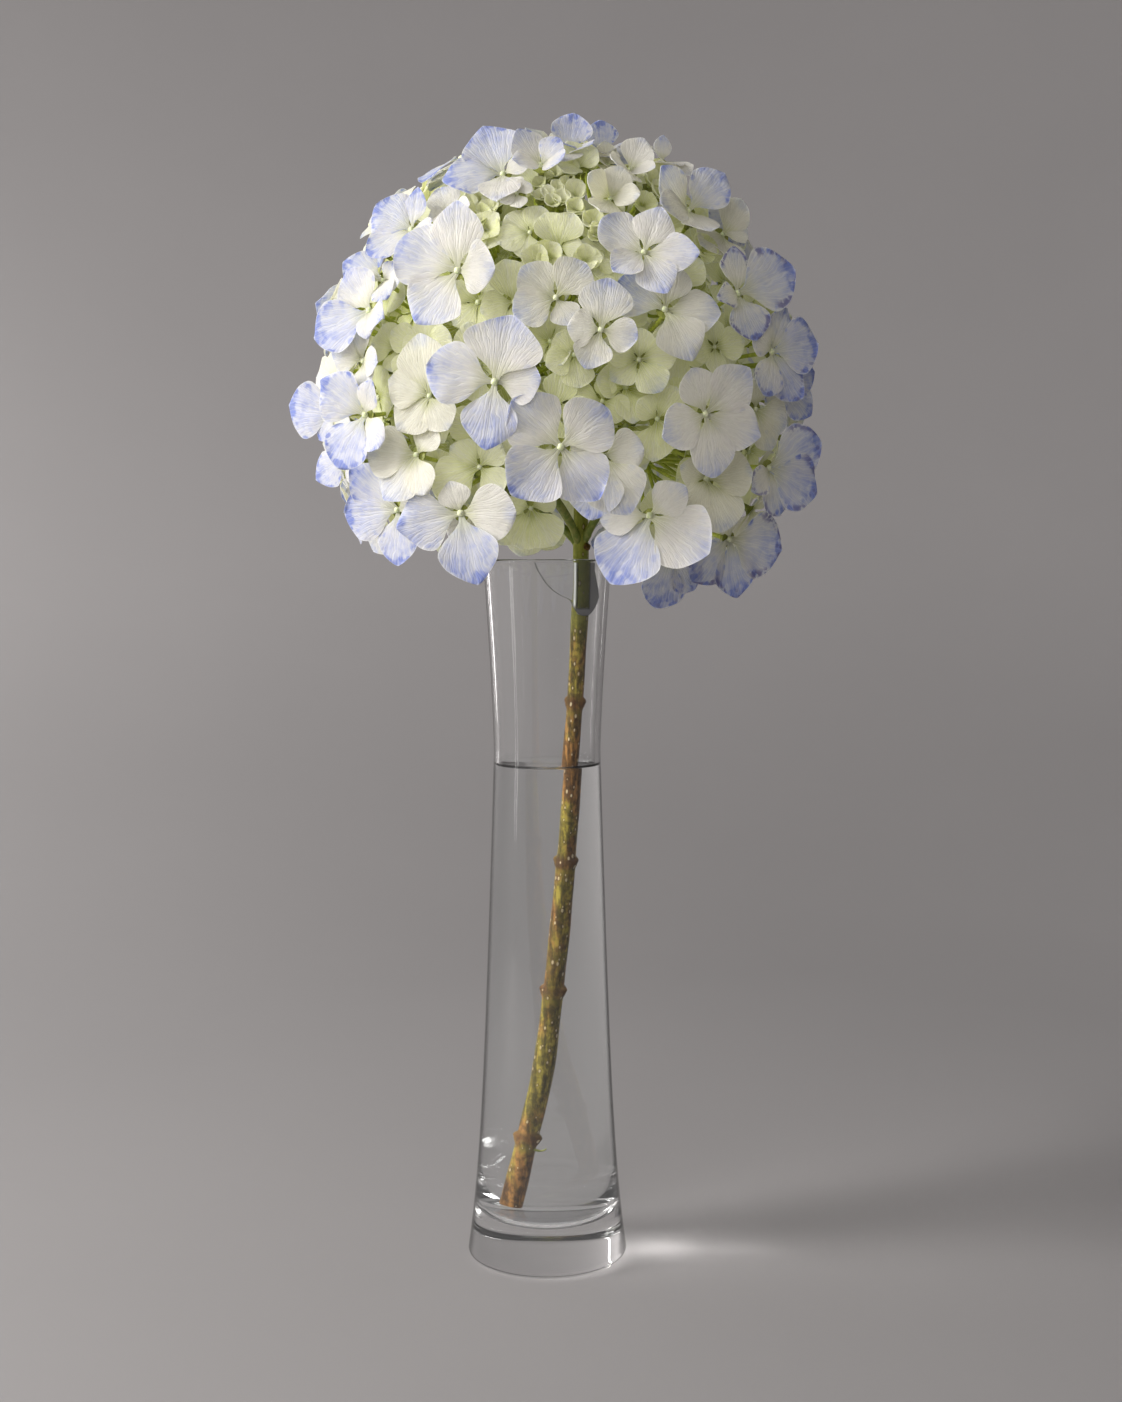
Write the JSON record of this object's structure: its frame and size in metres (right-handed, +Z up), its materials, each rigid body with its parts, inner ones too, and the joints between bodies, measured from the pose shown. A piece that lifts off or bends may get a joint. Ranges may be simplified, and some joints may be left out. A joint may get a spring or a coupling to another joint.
{
  "type": "hydrangea in a vase",
  "caption": "Cut mophead hydrangea, a ball of white and cream florets with blue edges, standing in a slim flared glass vase part-filled with water.",
  "frame": {"origin": "centre of the vase's flat underside, where it stands", "axes": "+Z up along the vase's axis, -Y towards the front, +X to the right seen from the front"},
  "size_m": [0.1745, 0.1813, 0.4086],
  "materials": {
    "vase_glass": "clear, fire-polished rim",
    "water": "clear still water",
    "stem": "olive green bark with brown patches and pale pores",
    "floret_white": "satin white sepals with blue-lilac edges",
    "floret_cream": "satin cream sepals, yellow-green in the middle"
  },
  "bodies": {
    "root": {"vase": "vase_glass", "water": "water", "stem": "stem", "floret_01": "floret_white", "floret_02": "floret_white", "floret_03": "floret_white", "floret_04": "floret_white", "floret_05": "floret_white", "floret_06": "floret_white", "floret_07": "floret_white", "floret_08": "floret_white", "floret_09": "floret_white", "floret_10": "floret_white", "floret_11": "floret_white", "floret_12": "floret_white", "floret_13": "floret_white", "floret_14": "floret_white", "floret_15": "floret_white", "floret_16": "floret_white", "floret_17": "floret_white", "floret_18": "floret_white", "floret_19": "floret_white", "floret_20": "floret_white", "floret_21": "floret_white", "floret_22": "floret_white", "floret_23": "floret_white", "floret_24": "floret_white", "floret_25": "floret_white", "floret_26": "floret_white", "floret_27": "floret_white", "floret_28": "floret_white", "floret_29": "floret_white", "floret_30": "floret_white", "floret_31": "floret_white", "floret_32": "floret_white", "floret_33": "floret_white", "floret_34": "floret_white", "floret_35": "floret_white", "floret_36": "floret_white", "floret_37": "floret_white", "floret_38": "floret_white", "floret_39": "floret_white", "floret_40": "floret_white", "floret_41": "floret_white", "floret_42": "floret_white", "floret_43": "floret_white", "floret_44": "floret_white", "floret_45": "floret_white", "floret_46": "floret_white", "floret_47": "floret_white", "floret_48": "floret_white", "floret_49": "floret_cream", "floret_50": "floret_cream", "floret_51": "floret_cream", "floret_52": "floret_cream", "floret_53": "floret_cream", "floret_54": "floret_cream", "floret_55": "floret_cream", "floret_56": "floret_cream"}
  },
  "joints": []
}
